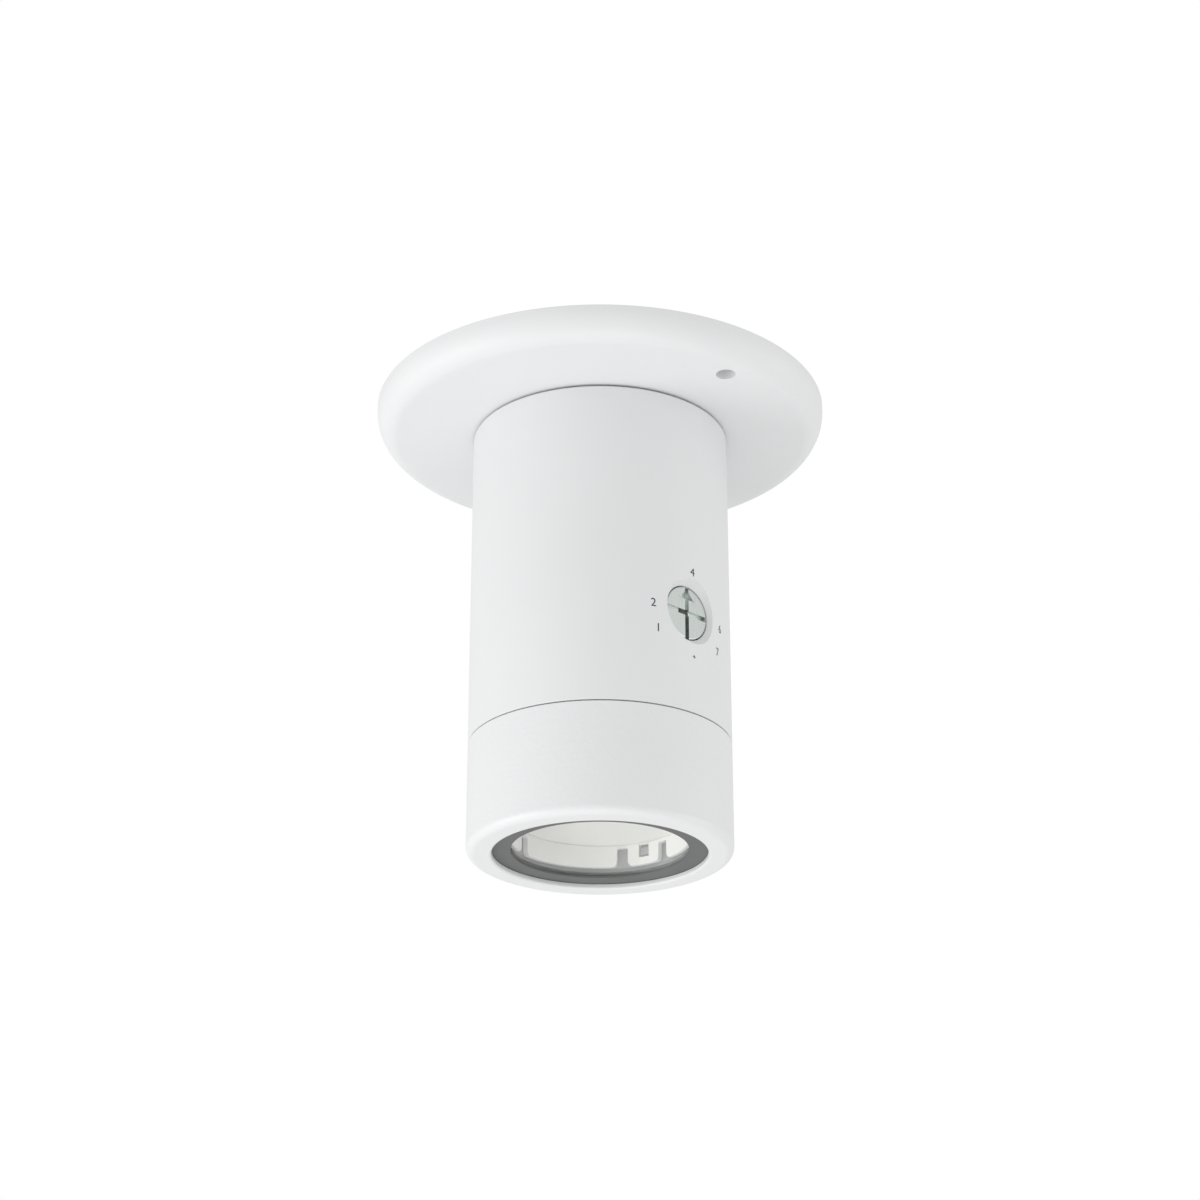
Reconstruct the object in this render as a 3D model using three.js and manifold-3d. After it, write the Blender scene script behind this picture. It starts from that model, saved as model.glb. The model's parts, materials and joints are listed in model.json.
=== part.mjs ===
// A ceiling strobe and sounder unit: a white tube that hangs from a round ceiling flange.
// A clear front glass sits behind a screw-on bezel ring, and a level dial is set in the side of the tube.
//
// Frame: millimetres, +Z up, origin at the centre of the flange's back face, which lies on the ceiling.
// The unit hangs below it, towards -Z. The level dial faces -Y.
// An azimuth is measured in degrees from -Y towards +X.

import * as THREE from "three";
import { mergeVertices } from "three/addons/utils/BufferGeometryUtils.js";
import Module from "manifold-3d";

const wasm = await Module();
wasm.setup();

// ---------------------------------------------------------------- driving dimensions

const FLANGE_R = 53;
const FLANGE_T = 7.75; // back face to front face
const RIM_BAND = 1.3; // straight edge at the ceiling, before the rim rounds over
const RIM_ROUND = [5, 6.2]; // the rounding's reach inwards and its height
const FIX_HOLE_R = 2.25;
const FIX_HOLE_REACH = 44.45; // two holes 88.9 mm apart, the spacing of a round ceiling box

const TUBE_R = 30;
const TUBE_WALL = 2.5;
const SHADOW_GAP = 0.35; // between the flange and the tube
const TUBE_TOP = -(FLANGE_T + SHADOW_GAP);
const SEAM_Z = -84.85; // where the tube stops and the bezel ring begins
const NECK_R = 27.1; // the thread neck that the bezel ring screws onto
const NECK_BORE_R = 24.9;
const NECK_TAPER_Z = [-82.6, -80];
const NECK_END = -106.5;
const BOTTOM_Z = -110.9;

const LIP_R = 24.25;
const WINDOW_R = 19.95; // the opening in the lens gasket
const GLASS_R = 25.4;
const GLASS_Z = [-108.9, -107.4];

const CUP_R = [19.8, 21];
const CUP_Z = [-105.9, -98.8];
const CUP_CEILING_Z = -100.85;
const TONGUE_AZIMUTHS = [31.8, 105.7, 211.8, 285.7];
const SLOT_SPREAD = 15.5; // degrees from a tongue's middle to each of its slots
const SLOT_W = 2.6;
const SLOT_TOP = -101.55;
const WINDOW_SIZE = [2.6, 3];
const WINDOW_MID_Z = -102.7;

const DIAL_Z = -60.5;
const DIAL_R = 6.2;
const DIAL_FACE = 28.1; // distance of the dial's face from the unit's axis: it is sunk in the tube's wall
const DIAL_THICKNESS = 1.7;

const MAIN_SCREW_REACH = 24;
const MAIN_SCREW_AZIMUTHS = [60, 180, 300];
const POST_REACH = 20.7;
const POST_AZIMUTHS = [0, 120, 240];
const CARRIER_SCREW_REACH = 18.7;
const CARRIER_SCREW_AZIMUTHS = [30, 150, 270];

const TERMINAL_BOARD_Z = [-30.4, -28.8];
const DRIVER_BOARD_Y = [-11.9, -10.3];
const CLEARANCE = 0.1; // between flat faces that rest on each other
const PAST = 1; // how far a cutting shape runs past the face that it opens

const SMOOTH = 48; // sides of a large circle that shows
const MEDIUM = 24;
const SMALL = 10;

// ---------------------------------------------------------------- materials

const finish = (color, roughness, metalness = 0) =>
  new THREE.MeshStandardMaterial({ color, roughness, metalness });

const MATERIAL = {
  shell: finish(0xf1f2f2, 0.55),
  reflector: finish(0xf4f3ee, 0.4),
  diffuser: finish(0xe9e8df, 0.5),
  gasket: finish(0x4c4d4d, 0.8),
  carrier: finish(0x9c9d9d, 0.5, 0.6),
  glass: new THREE.MeshStandardMaterial({
    color: 0xf3f8f7,
    roughness: 0.05,
    transparent: true,
    opacity: 0.3,
  }),
  dial: finish(0xc9cecc, 0.25, 0.9),
  steel: finish(0xb9bcbe, 0.35, 0.9),
  rubber: finish(0x2a2a2b, 0.85),
  board: finish(0x1f5c3a, 0.5),
  lamp: finish(0xf0e2a0, 0.3),
  blackPlastic: finish(0x1d1d1f, 0.45),
  terminal: finish(0x3b6f4f, 0.45),
  brass: finish(0xc2a04e, 0.3, 0.9),
  sleeve: finish(0x20242c, 0.4),
  copperWinding: finish(0xa65f35, 0.4, 0.6),
  redWire: finish(0xb3221f, 0.45),
  blackWire: finish(0x19191a, 0.45),
};

// ---------------------------------------------------------------- solids

// A closed geometry as a manifold solid with its faces pointing out.
function solid(geometry) {
  const bare = geometry.clone();
  for (const name of Object.keys(bare.attributes)) {
    if (name !== "position") bare.deleteAttribute(name);
  }
  const merged = mergeVertices(bare, 1e-4);
  const corners = merged.index.array;
  const triangles = [];
  for (let i = 0; i < corners.length; i += 3) {
    const [a, b, c] = [corners[i], corners[i + 1], corners[i + 2]];
    if (a !== b && b !== c && c !== a) triangles.push([a, b, c]);
  }
  const make = (faces) =>
    new wasm.Manifold(
      new wasm.Mesh({
        numProp: 3,
        vertProperties: new Float32Array(merged.attributes.position.array),
        triVerts: new Uint32Array(faces.flat()),
      }),
    );
  const made = make(triangles);
  return made.volume() > 0 ? made : make(triangles.map(([a, b, c]) => [a, c, b]));
}

function geometryOf(shape) {
  const mesh = shape.getMesh();
  const geometry = new THREE.BufferGeometry();
  geometry.setAttribute("position", new THREE.Float32BufferAttribute(mesh.vertProperties, 3));
  geometry.setIndex(new THREE.Uint32BufferAttribute(mesh.triVerts, 1));
  return geometry;
}

// A profile of [radius, height] points spun about Z. It starts and ends on the axis, or closes on itself.
function spun(profile, sides = SMOOTH) {
  const points = profile.map(([r, z]) => new THREE.Vector2(r, z));
  return solid(new THREE.LatheGeometry(points, sides).rotateX(Math.PI / 2));
}

const closed = (profile) => [...profile, profile[0]];

function disc(r, z0, z1, sides = SMOOTH) {
  return spun([[0, z0], [r, z0], [r, z1], [0, z1]], sides);
}

function ring(inner, outer, z0, z1, sides = SMOOTH) {
  return spun(closed([[inner, z0], [outer, z0], [outer, z1], [inner, z1]]), sides);
}

function block([x0, x1], [y0, y1], [z0, z1]) {
  const geometry = new THREE.BoxGeometry(x1 - x0, y1 - y0, z1 - z0);
  return solid(geometry.translate((x0 + x1) / 2, (y0 + y1) / 2, (z0 + z1) / 2));
}

// Points from one end of a quarter ellipse to the other, with its centre at [cx, cz].
function quarterArc([cx, cz], [rx, rz], from, to, steps) {
  return Array.from({ length: steps + 1 }, (_, i) => {
    const a = THREE.MathUtils.degToRad(from + ((to - from) * i) / steps);
    return [cx + rx * Math.cos(a), cz + rz * Math.sin(a)];
  });
}

function polar(azimuth, reach) {
  const a = THREE.MathUtils.degToRad(azimuth);
  return [reach * Math.sin(a), -reach * Math.cos(a)];
}

// A shape made around the -Y direction, turned to an azimuth.
const turned = (shape, azimuth) => shape.rotate([0, 0, azimuth]);

function movedTo(shape, azimuth, reach) {
  const [x, y] = polar(azimuth, reach);
  return shape.translate([x, y, 0]);
}

const all = (shapes) => shapes.reduce((sum, next) => sum.add(next));

function mesh(name, shape, material) {
  const made = new THREE.Mesh(geometryOf(shape), material);
  made.name = name;
  return made;
}

// A round wire or lead along a smooth curve through the points.
function lead(name, points, radius, material) {
  const curve = new THREE.CatmullRomCurve3(points.map((p) => new THREE.Vector3(...p)));
  const section = new THREE.Shape();
  section.absarc(0, 0, radius, 0, 2 * Math.PI);
  const geometry = new THREE.ExtrudeGeometry(section, {
    steps: 9,
    curveSegments: 3,
    extrudePath: curve,
    bevelEnabled: false,
  });
  return mesh(name, solid(geometry), material);
}

// A pan-head screw with a cross recess. The head's seat is at z 0, the head above it and the shank below.
function panHeadScrew({ headR, headT, shankR, length }) {
  const body = spun(
    [
      [0, -length],
      [shankR * 0.5, -length],
      [shankR, -length + shankR],
      [shankR, 0],
      [headR, 0],
      [headR, headT * 0.45],
      [headR * 0.7, headT],
      [0, headT],
    ],
    SMALL,
  );
  const arm = headR * 0.55;
  const slot = headR * 0.14;
  const floor = headT * 0.4;
  return body
    .subtract(block([-arm, arm], [-slot, slot], [floor, headT + PAST]))
    .subtract(block([-slot, slot], [-arm, arm], [floor, headT + PAST]));
}

// ---------------------------------------------------------------- ceiling flange and its seals

const HUB_BORE_R = 10;
const FLAT_R = 24; // the middle of the face is flat, and the rest falls back very slightly
const BACK_FACE_T = 2.4; // wall left behind the grooves
const BACK_GROOVES = [[16, 27.8], [29.4, 39.4]];
const RIB_W = 1.6;
const SEAL_GROOVE = [48, 50.6];
const SEAL_DEPTH = 1.5;
const RIB_AZIMUTHS = [30, 90, 150]; // each rib runs right across
const FIX_HOLE_AZIMUTHS = [-3.9, 176.1];
const SCREW_HOLE_R = 1.8; // clears a main screw's shank
const RIM_STEPS = 7;

function ceilingFlange() {
  const [roundIn, roundH] = RIM_ROUND;
  const rim = quarterArc([FLANGE_R - roundIn, -RIM_BAND], [roundIn, -roundH], 0, 90, RIM_STEPS);
  let flange = spun(
    closed([[HUB_BORE_R, 0], [FLANGE_R, 0], ...rim, [FLAT_R, -FLANGE_T], [HUB_BORE_R, -FLANGE_T]]),
  );
  const ribs = all(
    RIB_AZIMUTHS.map((azimuth) =>
      turned(block([-RIB_W / 2, RIB_W / 2], [-FLANGE_R, FLANGE_R], [-FLANGE_T, 0]), azimuth),
    ),
  );
  for (const [inner, outer] of BACK_GROOVES) {
    const groove = ring(inner, outer, BACK_FACE_T - FLANGE_T, PAST, MEDIUM);
    flange = flange.subtract(groove.subtract(ribs));
  }
  flange = flange.subtract(ring(...SEAL_GROOVE, -SEAL_DEPTH, PAST));
  const screwHole = disc(SCREW_HOLE_R, -FLANGE_T - PAST, PAST, SMALL);
  const fixHole = disc(FIX_HOLE_R, -FLANGE_T - PAST, PAST, MEDIUM);
  for (const azimuth of MAIN_SCREW_AZIMUTHS) {
    flange = flange.subtract(movedTo(screwHole, azimuth, MAIN_SCREW_REACH));
  }
  for (const azimuth of FIX_HOLE_AZIMUTHS) {
    flange = flange.subtract(movedTo(fixHole, azimuth, FIX_HOLE_REACH));
  }
  return mesh("ceiling_flange", flange, MATERIAL.shell);
}

const GROMMET_BORE_R = 6.8;
const GROMMET_BODY_R = 9.5;
const GROMMET_LIP = { r: 11.5, t: 1.6 };
const GROMMET_TOP = -0.3;
const GROMMET_CHAMFER = 0.6;
const FLANGE_GASKET_R = [10.6, 20];
const SEAL_PLAY = 0.2; // on each side of the rear seal in its groove
const CAP_Z = [-11.25, -8.65];

function seals() {
  const [inner, outer] = SEAL_GROOVE;
  const rear = ring(inner + SEAL_PLAY, outer - SEAL_PLAY, -SEAL_DEPTH + CLEARANCE, -CLEARANCE);
  const between = ring(...FLANGE_GASKET_R, CAP_Z[1] + CLEARANCE, -FLANGE_T - CLEARANCE, MEDIUM);
  const lipTop = CAP_Z[0] - CLEARANCE;
  const grommet = spun(
    closed([
      [GROMMET_BORE_R, lipTop - GROMMET_LIP.t],
      [GROMMET_LIP.r, lipTop - GROMMET_LIP.t],
      [GROMMET_LIP.r, lipTop],
      [GROMMET_BODY_R, lipTop],
      [GROMMET_BODY_R, GROMMET_TOP - GROMMET_CHAMFER],
      [GROMMET_BODY_R - GROMMET_CHAMFER, GROMMET_TOP],
      [GROMMET_BORE_R, GROMMET_TOP],
    ]),
    MEDIUM,
  );
  return [
    mesh("rear_seal", rear, MATERIAL.rubber),
    mesh("flange_gasket", between, MATERIAL.rubber),
    mesh("cable_grommet", grommet, MATERIAL.rubber),
  ];
}

const MAIN_SCREW = { headR: 3, headT: 2.1, shankR: 1.3, length: 15.2 };

function mainScrews() {
  const seat = BACK_FACE_T - FLANGE_T + CLEARANCE;
  return MAIN_SCREW_AZIMUTHS.map((azimuth, i) => {
    const screw = mesh(`main_screw_${i + 1}`, panHeadScrew(MAIN_SCREW), MATERIAL.steel);
    const [x, y] = polar(azimuth, MAIN_SCREW_REACH);
    screw.position.set(x, y, seat);
    return screw;
  });
}

// ---------------------------------------------------------------- top cap, terminal board and sounder

const POST_R = 3;
const POST_END = TERMINAL_BOARD_Z[1] + CLEARANCE;
const POST_ROOT = 0.5; // how far a post runs into the cap
const POST_PILOT = { r: 1.4, depth: 6 };
const CAP_PLAY = 0.4; // between the cap and the tube's bore
const CAP_BORE_R = 9.8;
const THROUGH_CAP = [CAP_Z[0] - PAST, CAP_Z[1] + PAST];
const SOUND_PORT = { x: [-4, 4], y: [-25, -22.2], azimuths: [30, 90, 150, 210, 270, 330] };

function topCap() {
  let cap = disc(TUBE_R - TUBE_WALL - CAP_PLAY, ...CAP_Z);
  for (const azimuth of POST_AZIMUTHS) {
    const post = disc(POST_R, POST_END, CAP_Z[0] + POST_ROOT, SMALL);
    const pilot = disc(POST_PILOT.r, POST_END - PAST, POST_END + POST_PILOT.depth, SMALL);
    cap = cap.add(movedTo(post, azimuth, POST_REACH));
    cap = cap.subtract(movedTo(pilot, azimuth, POST_REACH));
  }
  cap = cap.subtract(disc(CAP_BORE_R, ...THROUGH_CAP, MEDIUM));
  for (const azimuth of MAIN_SCREW_AZIMUTHS) {
    const hole = disc(SCREW_HOLE_R, ...THROUGH_CAP, SMALL);
    cap = cap.subtract(movedTo(hole, azimuth, MAIN_SCREW_REACH));
  }
  const port = block(SOUND_PORT.x, SOUND_PORT.y, THROUGH_CAP);
  for (const azimuth of SOUND_PORT.azimuths) cap = cap.subtract(turned(port, azimuth));
  return mesh("top_cap", cap, MATERIAL.shell);
}

const SOUNDER_Y = 6.5;
const SOUNDER_Z = [-40, TERMINAL_BOARD_Z[0] - 0.3];
const TERMINAL_BLOCK = { x: [-10.2, 10.2], y: [10.8, 19.8], z: [-28.7, -18] };
const TERMINAL_WAYS = 4;
const TERMINAL_PITCH = 5;
const TERMINAL_MOUTH = { halfW: 1.6, depth: 3, z: [-26.8, -23.2] };
const TERMINAL_WELL = { r: 1.9, depth: 4.5, setBack: 4.9 };
const TERMINAL_SCREW = { r: 1.6, t: 1.5, sunk: 2.6, slotHalfW: 0.3, slotDepth: 0.6 };
const THROUGH_BOARD = [TERMINAL_BOARD_Z[0] - PAST, TERMINAL_BOARD_Z[1] + PAST];
const NOZZLE_HOLE_R = 3.3;
const BOARD_HOLE_R = 1.6;
const BOARD_PLAY = 0.3; // between the terminal board and the neck's bore

function terminalDeck() {
  let board = disc(NECK_BORE_R - BOARD_PLAY, ...TERMINAL_BOARD_Z);
  board = board.subtract(disc(NOZZLE_HOLE_R, ...THROUGH_BOARD, SMALL).translate([0, SOUNDER_Y, 0]));
  for (const azimuth of POST_AZIMUTHS) {
    board = board.subtract(movedTo(disc(BOARD_HOLE_R, ...THROUGH_BOARD, SMALL), azimuth, POST_REACH));
  }
  let terminal = block(TERMINAL_BLOCK.x, TERMINAL_BLOCK.y, TERMINAL_BLOCK.z);
  const [front] = TERMINAL_BLOCK.y;
  const top = TERMINAL_BLOCK.z[1];
  const { halfW, depth } = TERMINAL_MOUTH;
  const { r, t, sunk, slotHalfW, slotDepth } = TERMINAL_SCREW;
  const screwY = front + TERMINAL_WELL.setBack;
  const slot = block([-r - PAST, r + PAST], [-slotHalfW, slotHalfW], [-slotDepth, PAST]);
  const head = disc(r, -t, 0, SMALL).subtract(slot);
  const screws = [];
  for (let i = 0; i < TERMINAL_WAYS; i++) {
    const x = (i - (TERMINAL_WAYS - 1) / 2) * TERMINAL_PITCH;
    const mouth = block([x - halfW, x + halfW], [front - PAST, front + depth], TERMINAL_MOUTH.z);
    const well = disc(TERMINAL_WELL.r, top - TERMINAL_WELL.depth, top + PAST, SMALL);
    terminal = terminal.subtract(mouth).subtract(well.translate([x, screwY, 0]));
    const screw = mesh(`terminal_screw_${i + 1}`, head, MATERIAL.steel);
    screw.position.set(x, screwY, top - sunk);
    screws.push(screw);
  }
  return [
    mesh("terminal_board", board, MATERIAL.board),
    mesh("terminal_block", terminal, MATERIAL.terminal),
    ...screws,
  ];
}

const BOARD_SCREW = { headR: 2.3, headT: 1.5, shankR: 1.15, length: 6.6 };

function boardScrews() {
  return POST_AZIMUTHS.map((azimuth, i) => {
    const screw = mesh(`board_screw_${i + 1}`, panHeadScrew(BOARD_SCREW), MATERIAL.steel);
    const [x, y] = polar(azimuth, POST_REACH);
    screw.position.set(x, y, TERMINAL_BOARD_Z[0] - CLEARANCE);
    screw.rotation.x = Math.PI;
    return screw;
  });
}

const SOUNDER_CASE = { r: 13, boreR: 11.1, seatR: 11.9, seatDepth: 1.4, roof: 1.6 };
const NOZZLE = { r: 2.9, boreR: 1.6, top: -27.6 };
const PIEZO = { plateR: 11.7, plateRise: [0.5, 0.9], discR: 7.5, discRise: [0.25, 0.6] };

// The sounder points up, with its nozzle through the terminal board.
// The piezo disc closes the case from below.
function sounder() {
  const [bottom, top] = SOUNDER_Z;
  const { r, boreR, seatR, seatDepth, roof } = SOUNDER_CASE;
  const body = spun(
    closed([
      [NOZZLE.boreR, NOZZLE.top],
      [NOZZLE.boreR, top - roof],
      [boreR, top - roof],
      [boreR, bottom + seatDepth],
      [seatR, bottom + seatDepth],
      [seatR, bottom],
      [r, bottom],
      [r, top],
      [NOZZLE.r, top],
      [NOZZLE.r, NOZZLE.top],
    ]),
    MEDIUM,
  );
  const above = (rises) => rises.map((rise) => bottom + rise);
  const plate = disc(PIEZO.plateR, ...above(PIEZO.plateRise), MEDIUM).add(
    disc(PIEZO.discR, ...above(PIEZO.discRise), MEDIUM),
  );
  const group = new THREE.Group();
  group.position.y = SOUNDER_Y;
  group.add(mesh("sounder_case", body, MATERIAL.blackPlastic));
  group.add(mesh("sounder_disc", plate, MATERIAL.brass));
  return group;
}

// ---------------------------------------------------------------- driver board

const DRIVER_BOARD = { x: [-18, 18], y: DRIVER_BOARD_Y, z: [-87, -31.6] };
const [BOARD_FRONT, BOARD_REAR] = DRIVER_BOARD_Y;
const CAN = { x: 8.5, r: 6.9, z: [-76.5, -49], bead: [2.5, 3.1, 3.7], beadDepth: 0.5, edge: 0.6 };
const DRUM = { x: -8.5, r: 6.3, waistR: 4.7, z: [-66, -53], cheek: 2 };
const LED_SOCKET = { x: [-12, -4], depth: 5, z: [-80, -74], wall: 1, floorT: 3 };
const EDGE_SOCKET = { halfW: 9, wall: 2, reach: 4.5, seat: 0.2 };
const CHIP = { x: [3.5, 12.5], t: 1.4, z: [-48, -41] };

function driverBoard() {
  const board = block(DRIVER_BOARD.x, DRIVER_BOARD.y, DRIVER_BOARD.z);
  const behind = BOARD_REAR + CLEARANCE;
  const ahead = BOARD_FRONT - CLEARANCE;

  const [canLow, canHigh] = CAN.z;
  const can = spun(
    [
      [0, canLow],
      [CAN.r, canLow],
      [CAN.r, canLow + CAN.bead[0]],
      [CAN.r - CAN.beadDepth, canLow + CAN.bead[1]],
      [CAN.r, canLow + CAN.bead[2]],
      [CAN.r, canHigh - CAN.edge],
      [CAN.r - CAN.edge, canHigh],
      [0, canHigh],
    ],
    MEDIUM,
  ).translate([CAN.x, behind + CAN.r, 0]);

  const [drumLow, drumHigh] = DRUM.z;
  const drum = spun(
    [
      [0, drumLow],
      [DRUM.r, drumLow],
      [DRUM.r, drumLow + DRUM.cheek],
      [DRUM.waistR, drumLow + DRUM.cheek],
      [DRUM.waistR, drumHigh - DRUM.cheek],
      [DRUM.r, drumHigh - DRUM.cheek],
      [DRUM.r, drumHigh],
      [0, drumHigh],
    ],
    MEDIUM,
  ).translate([DRUM.x, behind + DRUM.r, 0]);

  const [socketLow, socketHigh] = LED_SOCKET.z;
  const ledSocket = block(LED_SOCKET.x, [behind, behind + LED_SOCKET.depth], LED_SOCKET.z).subtract(
    block(
      [LED_SOCKET.x[0] + LED_SOCKET.wall, LED_SOCKET.x[1] - LED_SOCKET.wall],
      [behind + LED_SOCKET.wall, behind + LED_SOCKET.depth - LED_SOCKET.wall],
      [socketLow - PAST, socketHigh - LED_SOCKET.floorT],
    ),
  );
  const boardTop = DRIVER_BOARD.z[1];
  const { halfW, wall, reach, seat } = EDGE_SOCKET;
  const edgeSocket = block(
    [-halfW, halfW],
    [BOARD_FRONT - wall, BOARD_REAR + wall],
    [boardTop - reach, TERMINAL_BOARD_Z[0] - CLEARANCE],
  ).subtract(
    block(
      [-halfW - PAST, halfW + PAST],
      [BOARD_FRONT - CLEARANCE, BOARD_REAR + CLEARANCE],
      [boardTop - reach - PAST, boardTop + seat],
    ),
  );
  const chip = block(CHIP.x, [ahead - CHIP.t, ahead], CHIP.z);
  return [
    mesh("driver_board", board, MATERIAL.board),
    mesh("storage_capacitor", can, MATERIAL.sleeve),
    mesh("power_inductor", drum, MATERIAL.copperWinding),
    mesh("led_socket", ledSocket, MATERIAL.reflector),
    mesh("board_socket", edgeSocket, MATERIAL.blackPlastic),
    mesh("controller_chip", chip, MATERIAL.blackPlastic),
  ];
}

// ---------------------------------------------------------------- level selector

const STUB_R = 3.6;
const DIAL_BACK = DIAL_FACE - DIAL_THICKNESS;
const STUB_END = 22.6;
const COUNTERBORE_R = DIAL_R + 0.25;
const COUNTERBORE_FLOOR = DIAL_BACK - 0.3;
const O_RING_R = 5.1;
const O_RING_FLOOR = 24.8;
const BOSS_END = 23.9;
const DIAL_SLOT = { w: 1.15, depth: 1.2 };
const DIAL_EDGE = 0.3;
const ARROW = { tipInset: 0.4, baseInset: 2.9, halfW: 2.2 };
const SHAFT = { r: 1.9, span: [20.9, 25.6], socketR: 2.1, socketEnd: 25.9 };
const KEEPER = { r: 5.4, back: 22.9 };
const RING_PLAY = 0.15; // round the stub and in the ring's groove
const O_RING = { t: 1, soften: 0.3 };
const SWITCH = { half: 5.5, front: 19.2, neckR: 3.3, neckEnd: 20.6, neckRoot: 0.2 };

// In the selector's group local +Z points out of the tube, along the dial's axis, and local +Y is up.
function selector() {
  const half = DIAL_SLOT.w / 2;
  const reach = DIAL_R + PAST;
  const floor = DIAL_FACE - DIAL_SLOT.depth;
  const arrow = new THREE.Shape([
    new THREE.Vector2(0, DIAL_R - ARROW.tipInset),
    new THREE.Vector2(-ARROW.halfW, DIAL_R - ARROW.baseInset),
    new THREE.Vector2(ARROW.halfW, DIAL_R - ARROW.baseInset),
  ]);
  const arrowHead = solid(
    new THREE.ExtrudeGeometry(arrow, { depth: DIAL_SLOT.depth + PAST, bevelEnabled: false }),
  ).translate([0, 0, floor]);
  const dial = spun(
    [
      [0, STUB_END],
      [STUB_R, STUB_END],
      [STUB_R, DIAL_BACK],
      [DIAL_R, DIAL_BACK],
      [DIAL_R, DIAL_FACE - DIAL_EDGE],
      [DIAL_R - DIAL_EDGE, DIAL_FACE],
      [0, DIAL_FACE],
    ],
    MEDIUM,
  )
    .subtract(disc(SHAFT.socketR, STUB_END - PAST, SHAFT.socketEnd, SMALL))
    .subtract(block([-half, half], [-reach, reach], [floor, DIAL_FACE + PAST]))
    .subtract(block([-reach, reach], [-half, half], [floor, DIAL_FACE + PAST]))
    .subtract(arrowHead);

  const shaft = disc(SHAFT.r, ...SHAFT.span, SMALL);
  const keeper = ring(STUB_R + RING_PLAY, KEEPER.r, KEEPER.back, BOSS_END - 2 * CLEARANCE, MEDIUM);
  const [sealIn, sealOut] = [STUB_R + RING_PLAY, O_RING_R - RING_PLAY];
  const sealLow = O_RING_FLOOR + RING_PLAY;
  const sealHigh = sealLow + O_RING.t;
  const { soften } = O_RING;
  const seal = spun(
    closed([
      [sealIn, sealLow + soften],
      [sealIn + soften, sealLow],
      [sealOut - soften, sealLow],
      [sealOut, sealLow + soften],
      [sealOut, sealHigh - soften],
      [sealOut - soften, sealHigh],
      [sealIn + soften, sealHigh],
      [sealIn, sealHigh - soften],
    ]),
    MEDIUM,
  );
  const caseBack = -BOARD_FRONT + CLEARANCE;
  const side = [-SWITCH.half, SWITCH.half];
  const neck = disc(SWITCH.neckR, SWITCH.front - SWITCH.neckRoot, SWITCH.neckEnd, SMALL);
  const body = block(side, side, [caseBack, SWITCH.front]).add(neck);

  const group = new THREE.Group();
  group.position.z = DIAL_Z;
  group.rotation.x = Math.PI / 2;
  group.add(mesh("level_dial", dial, MATERIAL.dial));
  group.add(mesh("selector_shaft", shaft, MATERIAL.steel));
  group.add(mesh("dial_retaining_ring", keeper, MATERIAL.steel));
  group.add(mesh("dial_o_ring", seal, MATERIAL.rubber));
  group.add(mesh("selector_body", body, MATERIAL.blackPlastic));
  return group;
}

// ---------------------------------------------------------------- housing tube

const TUBE_BORE_R = TUBE_R - TUBE_WALL;
const LUG_Z = [-93.8, -89.6];
const MAIN_BOSS_Z = [-25.5, CAP_Z[0] - CLEARANCE];
const MAIN_BOSS = { r: 3, webHalfW: 1.2, pilotR: 1.55, pilotEnd: -23.5 };
const TUBE_EDGE = 0.5;
const LUG = { halfW: 3, reach: 15.4, pilotR: 1.3 };
const DIAL_BOSS_R = 8;
const STUB_HOLE_R = 4.1;

// Turns a shape made in the selector's local frame into the part's frame.
const alongDialAxis = (shape) => shape.rotate([90, 0, 0]).translate([0, 0, DIAL_Z]);

function housingTube() {
  let tube = spun(
    closed([
      [TUBE_BORE_R, TUBE_TOP],
      [TUBE_BORE_R, NECK_TAPER_Z[1]],
      [NECK_BORE_R, NECK_TAPER_Z[0]],
      [NECK_BORE_R, NECK_END],
      [NECK_R, NECK_END],
      [NECK_R, SEAM_Z],
      [TUBE_R, SEAM_Z],
      [TUBE_R, TUBE_TOP - TUBE_EDGE],
      [TUBE_R - TUBE_EDGE, TUBE_TOP],
    ]),
  );
  const { r, webHalfW, pilotR, pilotEnd } = MAIN_BOSS;
  const web = block([-webHalfW, webHalfW], [-TUBE_R + PAST, -MAIN_SCREW_REACH], MAIN_BOSS_Z);
  for (const azimuth of MAIN_SCREW_AZIMUTHS) {
    const boss = movedTo(disc(r, ...MAIN_BOSS_Z, SMALL), azimuth, MAIN_SCREW_REACH);
    const pilot = disc(pilotR, pilotEnd, MAIN_BOSS_Z[1] + PAST, SMALL);
    tube = tube.add(boss).add(turned(web, azimuth));
    tube = tube.subtract(movedTo(pilot, azimuth, MAIN_SCREW_REACH));
  }
  const lug = block([-LUG.halfW, LUG.halfW], [-NECK_BORE_R - PAST, -LUG.reach], LUG_Z);
  for (const azimuth of CARRIER_SCREW_AZIMUTHS) {
    const pilot = disc(LUG.pilotR, LUG_Z[0] - PAST, LUG_Z[1] + PAST, SMALL);
    tube = tube.add(turned(lug, azimuth)).subtract(movedTo(pilot, azimuth, CARRIER_SCREW_REACH));
  }
  const far = TUBE_R + PAST;
  tube = tube
    .add(alongDialAxis(disc(DIAL_BOSS_R, BOSS_END, TUBE_BORE_R + PAST, MEDIUM)))
    .subtract(alongDialAxis(disc(COUNTERBORE_R, COUNTERBORE_FLOOR, far, MEDIUM)))
    .subtract(alongDialAxis(disc(O_RING_R, O_RING_FLOOR, far, MEDIUM)))
    .subtract(alongDialAxis(disc(STUB_HOLE_R, BOSS_END - PAST, far, MEDIUM)));
  return mesh("housing_tube", tube, MATERIAL.shell);
}

// ---------------------------------------------------------------- light chamber

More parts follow.
